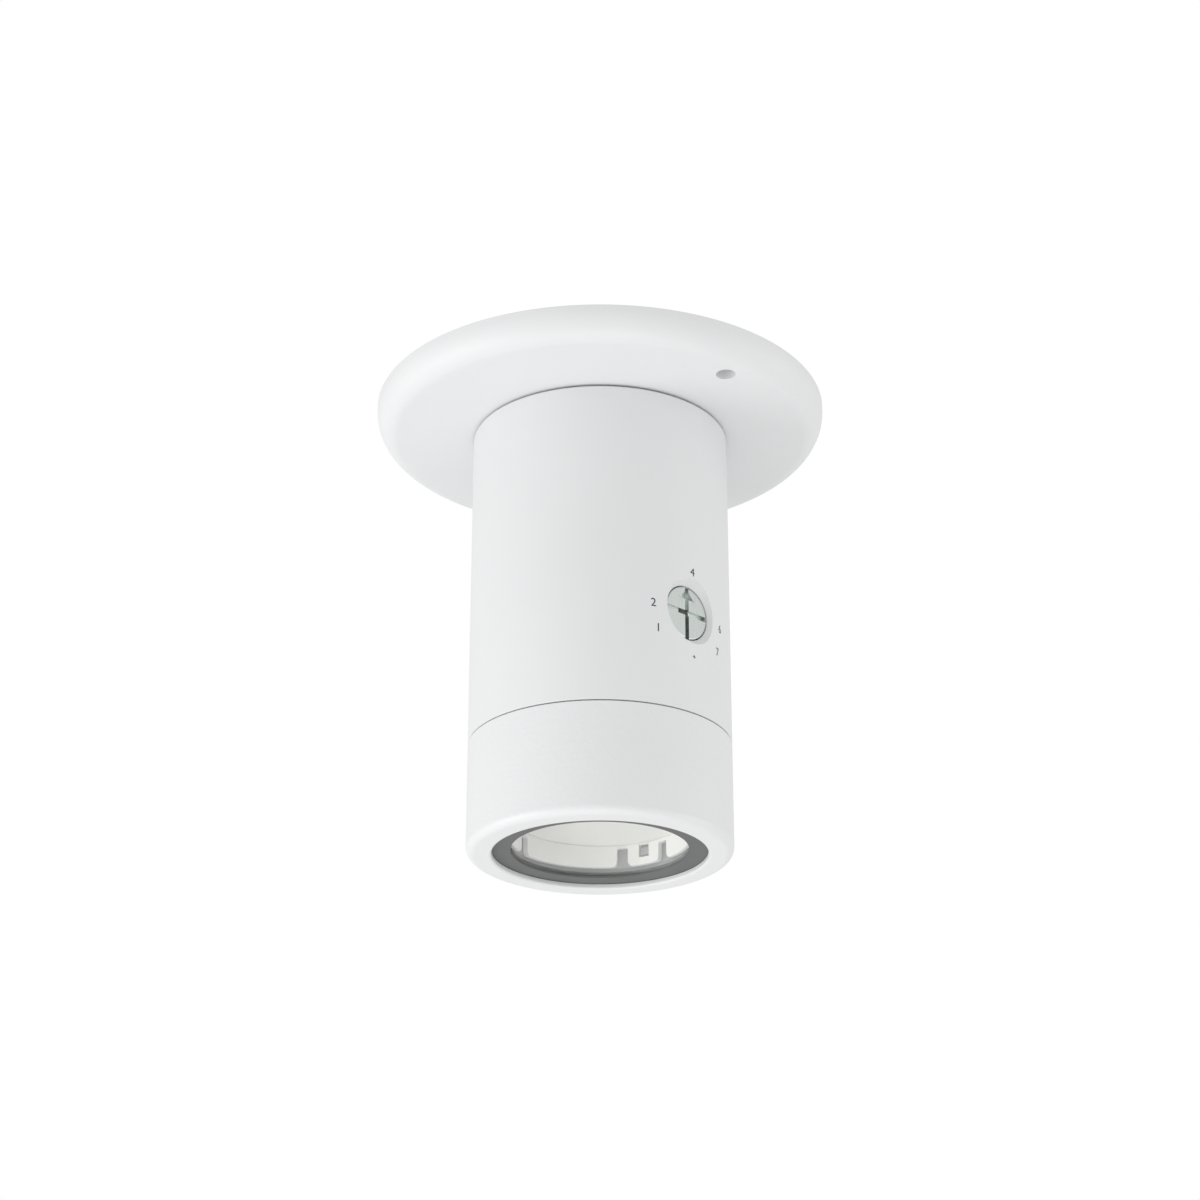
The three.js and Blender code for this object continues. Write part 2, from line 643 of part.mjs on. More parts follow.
const CARRIER_R = [21.4, 23.4];
const CARRIER_END = GLASS_Z[1] + CLEARANCE;
const CARRIER_TOP = [-96.1, -94];
const LED_BOARD_Z = [-97.8, -96.2];
const CARRIER_STEP = 0.5;
const NUB = { halfW: 1, root: 0.6, reach: 20.1, z: [WINDOW_MID_Z - 1, WINDOW_MID_Z + 0.8] };
const GUIDE = { x: [13, 17], gap: 0.2, t: 1.3, top: -83 };
const LEAD_HOLE_R = 3;
const CARRIER_HOLE_R = 1.5;

function lightCarrier() {
  const [inner, outer] = CARRIER_R;
  const plate = disc(outer - CARRIER_STEP, ...CARRIER_TOP);
  let carrier = ring(inner, outer, CARRIER_END, CARRIER_TOP[1]).add(plate);
  const nub = block([-NUB.halfW, NUB.halfW], [-inner - NUB.root, -NUB.reach], NUB.z);
  for (const azimuth of TONGUE_AZIMUTHS) carrier = carrier.add(turned(nub, azimuth));
  const { gap, t } = GUIDE;
  const guideZ = [CARRIER_TOP[0], GUIDE.top];
  const [near, far] = GUIDE.x;
  for (const x of [[-far, -near], [near, far]]) {
    const front = block(x, [BOARD_FRONT - gap - t, BOARD_FRONT - gap], guideZ);
    const rear = block(x, [BOARD_REAR + gap, BOARD_REAR + gap + t], guideZ);
    carrier = carrier.add(front).add(rear);
  }
  const through = [CARRIER_TOP[0] - PAST, CARRIER_TOP[1] + PAST];
  carrier = carrier.subtract(disc(LEAD_HOLE_R, ...through, SMALL));
  for (const azimuth of CARRIER_SCREW_AZIMUTHS) {
    const hole = disc(CARRIER_HOLE_R, ...through, SMALL);
    carrier = carrier.subtract(movedTo(hole, azimuth, CARRIER_SCREW_REACH));
  }
  return mesh("light_carrier", carrier, MATERIAL.carrier);
}

const CARRIER_SCREW = { headR: 2.2, headT: 1.5, shankR: 1.1, length: 5.6 };

function carrierScrews() {
  return CARRIER_SCREW_AZIMUTHS.map((azimuth, i) => {
    const screw = mesh(`carrier_screw_${i + 1}`, panHeadScrew(CARRIER_SCREW), MATERIAL.steel);
    const [x, y] = polar(azimuth, CARRIER_SCREW_REACH);
    screw.position.set(x, y, CARRIER_TOP[0] - CLEARANCE);
    screw.rotation.x = Math.PI;
    return screw;
  });
}

const LED_COUNT = 6;
const LED_CIRCLE_R = 9.5;
const LED_SIZE = 3.4;
const LED_T = 1.1;
const LED_BOARD_R = 16;

function lightSource() {
  const parts = [mesh("led_board", disc(LED_BOARD_R, ...LED_BOARD_Z, MEDIUM), MATERIAL.reflector)];
  const side = [-LED_SIZE / 2, LED_SIZE / 2];
  for (let i = 0; i < LED_COUNT; i++) {
    const azimuth = (360 / LED_COUNT) * i;
    const led = mesh(`strobe_led_${i + 1}`, block(side, side, [-LED_T, 0]), MATERIAL.lamp);
    const [x, y] = polar(azimuth, LED_CIRCLE_R);
    led.position.set(x, y, LED_BOARD_Z[0] - CLEARANCE);
    led.rotation.z = THREE.MathUtils.degToRad(azimuth);
    parts.push(led);
  }
  return parts;
}

const CUP_SEAT = 0.7; // the step that the diffuser rests on
const DIFFUSER = { t: 1, play: 0.2 };

function lightChamber() {
  const [bore, outer] = CUP_R;
  const seatR = bore + CUP_SEAT;
  const [bottom, top] = CUP_Z;
  let cup = spun(
    closed([
      [bore, bottom],
      [outer, bottom],
      [outer, top],
      [seatR, top],
      [seatR, CUP_CEILING_Z],
      [bore, CUP_CEILING_Z],
    ]),
  );
  const cut = [-outer - PAST, -bore + 2 * PAST];
  const slot = block([-SLOT_W / 2, SLOT_W / 2], cut, [bottom - PAST, SLOT_TOP]);
  const [windowW, windowH] = WINDOW_SIZE;
  const opening = block(
    [-windowW / 2, windowW / 2],
    cut,
    [WINDOW_MID_Z - windowH / 2, WINDOW_MID_Z + windowH / 2],
  );
  for (const azimuth of TONGUE_AZIMUTHS) {
    cup = cup
      .subtract(turned(slot, azimuth - SLOT_SPREAD))
      .subtract(turned(slot, azimuth + SLOT_SPREAD))
      .subtract(turned(opening, azimuth));
  }
  const diffuserLow = CUP_CEILING_Z + CLEARANCE;
  const diffuser = disc(seatR - DIFFUSER.play, diffuserLow, diffuserLow + DIFFUSER.t);
  return [
    mesh("reflector_cup", cup, MATERIAL.reflector),
    mesh("opal_diffuser", diffuser, MATERIAL.diffuser),
  ];
}

// ---------------------------------------------------------------- glass, gasket and bezel ring

const GASKET_R = 27;
const GASKET_Z = [-109.6, NECK_END - CLEARANCE];
const GASKET_REAR_R = 24;
const BEZEL_BORE_R = 27.5;
const SEAM_GAP = 0.3;
const BEZEL_TOP = SEAM_Z - SEAM_GAP;
const BEZEL_EDGE = { r: 1.9, steps: 5 };
const LIP_EDGE = { r: 0.7, steps: 3 };
const GLASS_PLAY = 0.3;

function lensStack() {
  const [front, back] = GASKET_Z;
  const channelR = GLASS_R + GLASS_PLAY;
  const gasket = spun(
    closed([
      [WINDOW_R, front],
      [GASKET_R, front],
      [GASKET_R, back],
      [GASKET_REAR_R, back],
      [GASKET_REAR_R, GLASS_Z[1] + CLEARANCE],
      [channelR, GLASS_Z[1] + CLEARANCE],
      [channelR, GLASS_Z[0] - CLEARANCE],
      [WINDOW_R, GLASS_Z[0] - CLEARANCE],
    ]),
  );
  return [
    mesh("lens_glass", disc(GLASS_R, ...GLASS_Z), MATERIAL.glass),
    mesh("lens_gasket", gasket, MATERIAL.gasket),
  ];
}

function bezelRing() {
  const lipTop = GASKET_Z[0] - CLEARANCE;
  const edge = BEZEL_EDGE.r;
  const outerEdge = quarterArc([TUBE_R - edge, BOTTOM_Z + edge], [edge, edge], 0, -90, BEZEL_EDGE.steps);
  const soft = LIP_EDGE.r;
  const lipEdge = quarterArc([LIP_R + soft, BOTTOM_Z + soft], [soft, soft], -90, -180, LIP_EDGE.steps);
  const bezel = spun(
    closed([
      [BEZEL_BORE_R, BEZEL_TOP],
      [TUBE_R, BEZEL_TOP],
      ...outerEdge,
      ...lipEdge,
      [LIP_R, lipTop],
      [BEZEL_BORE_R, lipTop],
    ]),
  );
  return mesh("bezel_ring", bezel, MATERIAL.shell);
}

// ---------------------------------------------------------------- internal leads

function leads() {
  const wireR = 0.6;
  const toLeds = (side) => [
    [-8 + side * 1.5, -7.7, -80.4],
    [-7 + side * 1.5, -6.5, -84],
    [side * 1.2 - 2, -2, -89],
    [side * 1.2, 0, -92.6],
    [side * 1.2, 0, -95.8],
  ];
  const toSounder = (side) => [
    [side * 2, 4.5, -40.4],
    [side * 2, 1.5, -43],
    [side * 2 - 1, -5, -44.8],
    [side * 2 - 1, -9.9, -44.8],
  ];
  return [
    lead("led_lead_red", toLeds(-1), wireR, MATERIAL.redWire),
    lead("led_lead_black", toLeds(1), wireR, MATERIAL.blackWire),
    lead("sounder_lead_red", toSounder(-1), wireR, MATERIAL.redWire),
    lead("sounder_lead_black", toSounder(1), wireR, MATERIAL.blackWire),
  ];
}

// ---------------------------------------------------------------- the whole unit

const unit = new THREE.Group();
unit.add(
  ceilingFlange(),
  ...seals(),
  ...mainScrews(),
  topCap(),
  ...terminalDeck(),
  ...boardScrews(),
  sounder(),
  ...driverBoard(),
  selector(),
  housingTube(),
  lightCarrier(),
  ...carrierScrews(),
  ...lightSource(),
  ...lightChamber(),
  ...lensStack(),
  bezelRing(),
  ...leads(),
);

export default unit;
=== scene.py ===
import json
import math

import bmesh
import bpy
from mathutils import Matrix, Vector


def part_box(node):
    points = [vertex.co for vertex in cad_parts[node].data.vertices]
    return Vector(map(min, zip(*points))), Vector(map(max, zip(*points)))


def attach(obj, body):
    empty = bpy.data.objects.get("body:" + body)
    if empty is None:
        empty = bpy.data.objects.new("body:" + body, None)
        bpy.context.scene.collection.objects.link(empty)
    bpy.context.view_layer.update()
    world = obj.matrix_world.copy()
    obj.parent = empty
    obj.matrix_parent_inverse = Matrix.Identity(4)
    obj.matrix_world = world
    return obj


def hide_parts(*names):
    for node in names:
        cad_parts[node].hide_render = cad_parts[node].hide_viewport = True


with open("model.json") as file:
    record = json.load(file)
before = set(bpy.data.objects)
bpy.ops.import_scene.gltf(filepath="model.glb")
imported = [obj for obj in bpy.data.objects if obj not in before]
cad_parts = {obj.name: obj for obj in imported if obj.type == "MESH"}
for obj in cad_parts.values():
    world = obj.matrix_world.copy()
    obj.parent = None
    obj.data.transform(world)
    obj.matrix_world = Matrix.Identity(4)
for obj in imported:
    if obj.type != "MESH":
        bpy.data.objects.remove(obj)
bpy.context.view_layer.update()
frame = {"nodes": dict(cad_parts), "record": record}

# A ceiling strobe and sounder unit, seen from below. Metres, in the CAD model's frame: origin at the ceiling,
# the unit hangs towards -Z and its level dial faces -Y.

MM = 0.001
TAU = 2 * math.pi

# ---------------------------------------------------------------- sizes taken from the frame

FLANGE_LOW, FLANGE_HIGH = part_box("ceiling_flange")
FLANGE_R = FLANGE_HIGH.x
FACE_Z = FLANGE_LOW.z

TUBE_LOW, TUBE_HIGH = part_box("housing_tube")
TUBE_R = TUBE_HIGH.x
NECK_END = TUBE_LOW.z

BEZEL_LOW, BEZEL_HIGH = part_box("bezel_ring")
SEAM_GAP = 0.3 * MM
SEAM_Z = BEZEL_HIGH.z + SEAM_GAP

GASKET_LOW, GASKET_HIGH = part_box("lens_gasket")
GLASS_LOW, GLASS_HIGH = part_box("lens_glass")
CARRIER_LOW, CARRIER_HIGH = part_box("light_carrier")
BOARD_LOW, BOARD_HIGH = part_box("driver_board")
CUP_LOW, CUP_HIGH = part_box("reflector_cup")
DIFFUSER_LOW, DIFFUSER_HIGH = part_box("opal_diffuser")
DIAL_LOW, DIAL_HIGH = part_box("level_dial")
DIAL_R = DIAL_HIGH.x
DIAL_Z = (DIAL_LOW.z + DIAL_HIGH.z) / 2
DIAL_FACE = -DIAL_LOW.y
CAP_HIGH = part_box("top_cap")[1]

# ---------------------------------------------------------------- sizes that the boxes don't give

NECK_R = 27.1 * MM
TUBE_BORE_R = 27.5 * MM
NECK_BORE_R = 24.9 * MM
LIP_R = 24.25 * MM
WINDOW_R = 19.95 * MM
CUP_BORE_R = 19.8 * MM
TONGUE_AZIMUTHS = [31.8, 105.7, 211.8, 285.7]
SLOT_SPREAD = 15.5
SLOT_HALF_W = 1.3 * MM
SLOT_TOP = -101.55 * MM
SLOT_MOUTH = 1.2 * MM
WINDOW_MID_Z = -102.7 * MM
CARRIER_SCREW_REACH = 18.7 * MM
CARRIER_SCREW_AZIMUTHS = [30, 150, 270]
NECK_TAPER_Z = (-82.6 * MM, -80 * MM)
THREAD_PITCH = 2.5 * MM

# ---------------------------------------------------------------- camera

CAMERA_AZIMUTH = math.radians(-43.8)
CAMERA_REACH = 11.09 * FLANGE_R
CAMERA_DROP = 5.584 * FLANGE_R
CAMERA_PITCH = math.radians(23.47)
LENS_MM = 82.8


def make_camera():
    data = bpy.data.cameras.new("camera")
    data.lens = LENS_MM
    data.sensor_width = 36
    data.clip_start = 0.01
    camera = bpy.data.objects.new("camera", data)
    bpy.context.scene.collection.objects.link(camera)
    side, ahead = math.sin(CAMERA_AZIMUTH), math.cos(CAMERA_AZIMUTH)
    camera.location = (CAMERA_REACH * side, -CAMERA_REACH * ahead, FACE_Z - CAMERA_DROP)
    level = math.cos(CAMERA_PITCH)
    look = Vector((-side * level, ahead * level, math.sin(CAMERA_PITCH)))
    camera.rotation_euler = look.to_track_quat("-Z", "Y").to_euler()
    bpy.context.scene.camera = camera
    return camera


# ---------------------------------------------------------------- materials


def new_material(name):
    material = bpy.data.materials.new(name)
    material.use_nodes = True
    return material, material.node_tree, material.node_tree.nodes["Principled BSDF"]


def noise(tree, grain, detail=3.0):
    """Noise whose features are about grain metres across."""
    place = tree.nodes.new("ShaderNodeTexCoord")
    texture = tree.nodes.new("ShaderNodeTexNoise")
    texture.inputs["Scale"].default_value = 1 / grain
    texture.inputs["Detail"].default_value = detail
    tree.links.new(place.outputs["Object"], texture.inputs["Vector"])
    return texture.outputs["Fac"]


def spread(tree, value, low, high):
    node = tree.nodes.new("ShaderNodeMapRange")
    node.inputs["From Min"].default_value = 0.3
    node.inputs["From Max"].default_value = 0.7
    node.inputs["To Min"].default_value = low
    node.inputs["To Max"].default_value = high
    tree.links.new(value, node.inputs["Value"])
    return node.outputs["Result"]


def surface(
    name,
    colour,
    roughness,
    grain=0.6 * MM,
    relief=0.02 * MM,
    strength=0.3,
    shift=0.03,
    rough_shift=0.06,
    patch=12 * MM,
    metallic=0.0,
    coat=0.0,
    subsurface=0.0,
):
    """A finish whose colour drifts in soft patches, with a fine grain in its bump and roughness."""
    material, tree, shader = new_material(name)
    drift = noise(tree, patch, 2.0)
    mix = tree.nodes.new("ShaderNodeMix")
    mix.data_type = "RGBA"
    mix.inputs["A"].default_value = (*[c * (1 - shift) for c in colour], 1)
    mix.inputs["B"].default_value = (*[min(1, c * (1 + shift)) for c in colour], 1)
    tree.links.new(spread(tree, drift, 0, 1), mix.inputs["Factor"])
    tree.links.new(mix.outputs["Result"], shader.inputs["Base Color"])
    fine = noise(tree, grain)
    rough = spread(tree, fine, roughness - rough_shift, roughness + rough_shift)
    tree.links.new(rough, shader.inputs["Roughness"])
    bump = tree.nodes.new("ShaderNodeBump")
    bump.inputs["Strength"].default_value = strength
    bump.inputs["Distance"].default_value = relief
    tree.links.new(fine, bump.inputs["Height"])
    tree.links.new(bump.outputs["Normal"], shader.inputs["Normal"])
    shader.inputs["Metallic"].default_value = metallic
    shader.inputs["Coat Weight"].default_value = coat
    if subsurface:
        shader.inputs["Subsurface Weight"].default_value = subsurface
        shader.inputs["Subsurface Scale"].default_value = 1 * MM
    return material


def brushed(name, colour, roughness, along):
    """Bright metal with fine lines along one axis."""
    material, tree, shader = new_material(name)
    place = tree.nodes.new("ShaderNodeTexCoord")
    stretch = tree.nodes.new("ShaderNodeMapping")
    scale = [9000.0, 9000.0, 9000.0]
    scale[along] = 250.0
    stretch.inputs["Scale"].default_value = scale
    lines = tree.nodes.new("ShaderNodeTexNoise")
    lines.inputs["Scale"].default_value = 1.0
    lines.inputs["Detail"].default_value = 2.0
    tree.links.new(place.outputs["Object"], stretch.inputs["Vector"])
    tree.links.new(stretch.outputs["Vector"], lines.inputs["Vector"])
    value = lines.outputs["Fac"]
    mix = tree.nodes.new("ShaderNodeMix")
    mix.data_type = "RGBA"
    mix.inputs["A"].default_value = (*[c * 0.93 for c in colour], 1)
    mix.inputs["B"].default_value = (*[min(1, c * 1.05) for c in colour], 1)
    tree.links.new(spread(tree, value, 0, 1), mix.inputs["Factor"])
    tree.links.new(mix.outputs["Result"], shader.inputs["Base Color"])
    tree.links.new(spread(tree, value, roughness - 0.05, roughness + 0.08), shader.inputs["Roughness"])
    bump = tree.nodes.new("ShaderNodeBump")
    bump.inputs["Strength"].default_value = 0.15
    bump.inputs["Distance"].default_value = 0.005 * MM
    tree.links.new(value, bump.inputs["Height"])
    tree.links.new(bump.outputs["Normal"], shader.inputs["Normal"])
    shader.inputs["Metallic"].default_value = 1.0
    return material


def clear_glass(name):
    """Polished glass that lets the lamps' light straight through to what is behind it."""
    material, tree, shader = new_material(name)
    faint = noise(tree, 9 * MM, 1.0)
    tree.links.new(spread(tree, faint, 0.0, 0.02), shader.inputs["Roughness"])
    mix = tree.nodes.new("ShaderNodeMix")
    mix.data_type = "RGBA"
    mix.inputs["A"].default_value = (0.97, 0.985, 0.98, 1)
    mix.inputs["B"].default_value = (0.99, 1.0, 0.995, 1)
    tree.links.new(faint, mix.inputs["Factor"])
    tree.links.new(mix.outputs["Result"], shader.inputs["Base Color"])
    shader.inputs["Transmission Weight"].default_value = 1.0
    shader.inputs["IOR"].default_value = 1.5
    path = tree.nodes.new("ShaderNodeLightPath")
    clear = tree.nodes.new("ShaderNodeBsdfTransparent")
    pane = tree.nodes.new("ShaderNodeMixShader")
    tree.links.new(path.outputs["Is Shadow Ray"], pane.inputs[0])
    tree.links.new(shader.outputs[0], pane.inputs[1])
    tree.links.new(clear.outputs[0], pane.inputs[2])
    tree.links.new(pane.outputs[0], tree.nodes["Material Output"].inputs["Surface"])
    return material


POWDER_COLOUR = (0.76, 0.765, 0.77)


def make_materials():
    return {
        "white_powder_coat": surface(
            "white_powder_coat", POWDER_COLOUR, 0.5, grain=0.7 * MM, relief=0.03 * MM,
            strength=0.35, shift=0.008, patch=25 * MM, coat=0.05,
        ),
        "white_orange_peel": surface(
            "white_orange_peel", POWDER_COLOUR, 0.42, grain=1.1 * MM, relief=0.09 * MM,
            strength=1.0, shift=0.008, patch=25 * MM, coat=0.08,
        ),
        "grey_gasket": surface("grey_gasket", (0.125, 0.127, 0.127), 0.6, grain=0.4 * MM, shift=0.08),
        "black_rubber": surface("black_rubber", (0.03, 0.03, 0.032), 0.75, grain=0.5 * MM, shift=0.12),
        "clear_glass": clear_glass("clear_glass"),
        "white_reflector": surface(
            "white_reflector", (0.9, 0.895, 0.87), 0.35, grain=1.2 * MM, strength=0.12, shift=0.015,
        ),
        "opal_plastic": surface(
            "opal_plastic", (0.85, 0.84, 0.8), 0.5, grain=1.5 * MM, strength=0.15, shift=0.02,
        ),
        "grey_carrier": surface("grey_carrier", (0.36, 0.365, 0.365), 0.55, grain=0.5 * MM, shift=0.06),
        # painted light: a lighter copy of the grey carrier's colour, for the foot of the ring that sits in
        # shade
        "carrier_painted_light": surface("carrier_painted_light", (0.62, 0.625, 0.625), 0.5, grain=0.5 * MM, shift=0.04),
        "plated_dial": brushed("plated_dial", (0.66, 0.7, 0.68), 0.26, along=2),
        # painted dark reflection and shade: the colour of the dark plate laid in the dial's slot
        "slot_painted_reflection": surface("slot_painted_reflection", (0.1, 0.11, 0.108), 0.5, grain=0.3 * MM, shift=0.15),
        "zinc_steel": brushed("zinc_steel", (0.6, 0.61, 0.62), 0.3, along=0),
        "cap_plastic": surface("cap_plastic", (0.8, 0.8, 0.79), 0.5, shift=0.02),
        "green_board": surface("green_board", (0.02, 0.13, 0.06), 0.35, grain=1 * MM, shift=0.2, coat=0.3),
        "white_board": surface("white_board", (0.8, 0.8, 0.78), 0.4, grain=1 * MM, shift=0.03),
        "green_terminal": surface("green_terminal", (0.04, 0.22, 0.1), 0.45, shift=0.08),
        "black_plastic": surface("black_plastic", (0.02, 0.02, 0.022), 0.45, shift=0.15),
        "brass_disc": brushed("brass_disc", (0.75, 0.58, 0.25), 0.3, along=0),
        "can_sleeve": surface("can_sleeve", (0.02, 0.025, 0.04), 0.3, shift=0.1, coat=0.4),
        "copper_winding": brushed("copper_winding", (0.65, 0.32, 0.16), 0.32, along=0),
        "lamp_phosphor": surface("lamp_phosphor", (0.85, 0.75, 0.35), 0.3, shift=0.06, coat=0.5),
        "red_wire": surface("red_wire", (0.5, 0.02, 0.015), 0.35, shift=0.08),
        "black_wire": surface("black_wire", (0.015, 0.015, 0.016), 0.35, shift=0.15),
        "dial_ink": surface("dial_ink", (0.045, 0.05, 0.055), 0.6, grain=0.3 * MM, shift=0.15),
    }


MATERIALS = make_materials()

# ---------------------------------------------------------------- mesh tools

SIDES = 192
FINE_SIDES = 64
SHARP = math.radians(30)


def as_object(name, mesh):
    piece = bpy.data.objects.new(name, mesh)
    bpy.context.scene.collection.objects.link(piece)
    return piece


def from_bmesh(name, bm):
    bmesh.ops.recalc_face_normals(bm, faces=bm.faces)
    mesh = bpy.data.meshes.new(name)
    bm.to_mesh(mesh)
    bm.free()
    return as_object(name, mesh)


SUPPORT = 0.08 * MM
LONG = 0.6 * MM
ON_AXIS = 1e-9


def supported(profile):
    """Adds a point near each end of every long stretch, so shading stays flat between rounded edges."""
    points = []
    for start, end in zip(profile, [*profile[1:], profile[0]]):
        points.append(start)
        length = math.dist(start, end)
        if length > LONG and not start[0] == end[0] == 0:
            near = SUPPORT / length
            for share in [near, 1 - near]:
                points.append(tuple(a + (b - a) * share for a, b in zip(start, end)))
    return points


def lathe(name, profile, sides=SIDES):
    """A closed [radius, height] profile in metres, spun about Z. A point on the axis is one vertex."""
    bm = bmesh.new()
    rings = []
    for r, z in supported(profile):
        if r < ON_AXIS:
            rings.append([bm.verts.new((0, 0, z))])
        else:
            turns = [TAU * i / sides for i in range(sides)]
            rings.append([bm.verts.new((r * math.cos(a), r * math.sin(a), z)) for a in turns])
    for k, ring in enumerate(rings):
        following = rings[(k + 1) % len(rings)]
        if len(ring) == len(following) == 1:
            continue
        for i in range(sides):
            j = (i + 1) % sides
            here = [ring[i % len(ring)], ring[j % len(ring)]]
            there = [following[j % len(following)], following[i % len(following)]]
            bm.faces.new(list(dict.fromkeys(here + there)))
    return from_bmesh(name, bm)


def arc(centre, radii, start, end, steps=8):
    """Points along an ellipse's arc, from one angle in degrees to another."""
    points = []
    for i in range(steps + 1):
        a = math.radians(start + (end - start) * i / steps)
        points.append((centre[0] + radii[0] * math.cos(a), centre[1] + radii[1] * math.sin(a)))
    return points


def straight(start, end, steps):
    return [
        (start[0] + (end[0] - start[0]) * i / steps, start[1] + (end[1] - start[1]) * i / steps)
        for i in range(steps + 1)
    ]


def prism(name, outline, low, high):
    """An outline in X and Y drawn up from one height to another."""
    bm = bmesh.new()
    bottom = [bm.verts.new((x, y, low)) for x, y in outline]
    top = [bm.verts.new((x, y, high)) for x, y in outline]
    bm.faces.new(bottom)
    bm.faces.new(top)
    for i in range(len(outline)):
        j = (i + 1) % len(outline)
        bm.faces.new([bottom[i], bottom[j], top[j], top[i]])
    return from_bmesh(name, bm)


def box_tool(x, y, z):
    return prism("tool", [(x[0], y[0]), (x[1], y[0]), (x[1], y[1]), (x[0], y[1])], *z)


def disc_tool(r, low, high, sides=FINE_SIDES):
    return lathe("tool", [(0, low), (r, low), (r, high), (0, high)], sides)


def move(piece, matrix):
    piece.data.transform(matrix)
    return piece


def turned(piece, azimuth):
    return move(piece, Matrix.Rotation(math.radians(azimuth), 4, "Z"))


def at(piece, azimuth, reach):
    a = math.radians(azimuth)
    return move(piece, Matrix.Translation((reach * math.sin(a), -reach * math.cos(a), 0)))


def combine(target, tool, operation):
    step = target.modifiers.new("combine", "BOOLEAN")
    step.operation = operation
    step.solver = "EXACT"
    step.object = tool
    graph = bpy.context.evaluated_depsgraph_get()
    mesh = bpy.data.meshes.new_from_object(target.evaluated_get(graph))
    target.modifiers.clear()
    old = target.data
    target.data = mesh
    bpy.data.meshes.remove(old)
    bpy.data.objects.remove(tool)
    return target


def cut(target, tool):
    return combine(target, tool, "DIFFERENCE")


def join(target, tool):
    return combine(target, tool, "UNION")


def finish_piece(piece, body, node, slot, material=None, edge=0.0):
    """Shades a piece, gives it its material, ties it to its body and hides the CAD node it stands for."""
    if edge:
        bevel = piece.modifiers.new("edge", "BEVEL")
        bevel.width = edge
        bevel.segments = 2
        bevel.limit_method = "ANGLE"
        bevel.angle_limit = math.radians(40)
    piece.data.materials.clear()
    piece.data.materials.append(MATERIALS[material or slot])
    piece.data.shade_smooth()
    piece.data.set_sharp_from_angle(angle=SHARP)
    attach(piece, body)
    if node:
        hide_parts(node)
    return piece


# ---------------------------------------------------------------- ceiling flange

RIM_BAND = 1.3 * MM
RIM_ROUND = (5 * MM, 6.2 * MM)
HUB_BORE_R = 10 * MM
FLAT_R = 24 * MM
BACK_EDGE = 0.3 * MM
FIX_HOLE_R = 2.25 * MM
FIX_HOLE_REACH = 44.45 * MM
FIX_HOLE_AZIMUTHS = [-3.9, 176.1]
MAIN_SCREW_REACH = 24 * MM
MAIN_SCREW_AZIMUTHS = [60, 180, 300]
BACK_WALL = 2.4 * MM


def ceiling_flange():
    rim = arc((FLANGE_R - RIM_ROUND[0], -RIM_BAND), RIM_ROUND, 0, -90, 24)
    back = arc((FLANGE_R - BACK_EDGE, -BACK_EDGE), (BACK_EDGE, BACK_EDGE), 90, 0, 5)
    face = straight((rim[-1][0], rim[-1][1]), (FLAT_R, FACE_Z), 8)[1:]
    seal_in, seal_out, seal_depth = 48 * MM, 50.6 * MM, -1.5 * MM
    groove = [(seal_in, 0), (seal_in, seal_depth), (seal_out, seal_depth), (seal_out, 0)]
    bore = [(HUB_BORE_R + 0.4 * MM, FACE_Z), (HUB_BORE_R, FACE_Z + 0.4 * MM), (HUB_BORE_R, 0)]
    piece = lathe("flange", [*groove, *back, *rim, *face, *bore])
    floor = FACE_Z + BACK_WALL
    half_rib = 0.8 * MM
    for inner, outer in [(16 * MM, 27.8 * MM), (29.4 * MM, 39.4 * MM)]:
        for i in range(6):
            pocket = arc_pocket(inner, outer, 60 * i, half_rib, floor, 1 * MM)
            cut(piece, pocket)
    for azimuth in MAIN_SCREW_AZIMUTHS:
        cut(piece, at(disc_tool(1.8 * MM, FACE_Z - MM, MM), azimuth, MAIN_SCREW_REACH))
    for azimuth in FIX_HOLE_AZIMUTHS:
        cut(piece, at(disc_tool(FIX_HOLE_R, FACE_Z - MM, MM), azimuth, FIX_HOLE_REACH))
    return finish_piece(piece, "unit", "ceiling_flange", "white_powder_coat")


def arc_pocket(inner, outer, azimuth, half_rib, low, high):
    """A pocket between two ribs: a sixth of a ring, less half a rib on each side."""
    steps = 24
    outline = []
    for r, order in [(outer, range(steps + 1)), (inner, range(steps, -1, -1))]:
        margin = math.asin(half_rib / r)
        sweep = TAU / 6 - 2 * margin
        for i in order:
            a = margin + sweep * i / steps
            outline.append((r * math.cos(a), r * math.sin(a)))
    return turned(prism("tool", outline, low, high), azimuth)


def rear_seal():
    low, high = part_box("rear_seal")
    half = (high.z - low.z) / 2
    outer = high.x
    inner = 48.2 * MM
    middle = (low.z + high.z) / 2
    width = (outer - inner) / 2
    profile = arc(((outer + inner) / 2, middle), (width, half), 0, 360, 24)[:-1]
    return finish_piece(lathe("ceiling_seal", profile), "unit", "rear_seal", "black_rubber")


def cable_grommet():
    low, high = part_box("cable_grommet")
    bore, body, lip = 6.8 * MM, 9.5 * MM, high.x
    soft = 0.5 * MM
    lip_top = low.z + 1.6 * MM
    profile = [
        *arc((bore + soft, low.z + soft), (soft, soft), 180, 270, 5),
        *arc((lip - soft, low.z + soft), (soft, soft), 270, 360, 5),
        *arc((lip - soft, lip_top - soft), (soft, soft), 0, 90, 5),
        (body, lip_top),
        *arc((body - soft, high.z - soft), (soft, soft), 0, 90, 5),
        *arc((bore + soft, high.z - soft), (soft, soft), 90, 180, 5),
    ]
    return finish_piece(lathe("grommet", profile), "unit", "cable_grommet", "black_rubber")


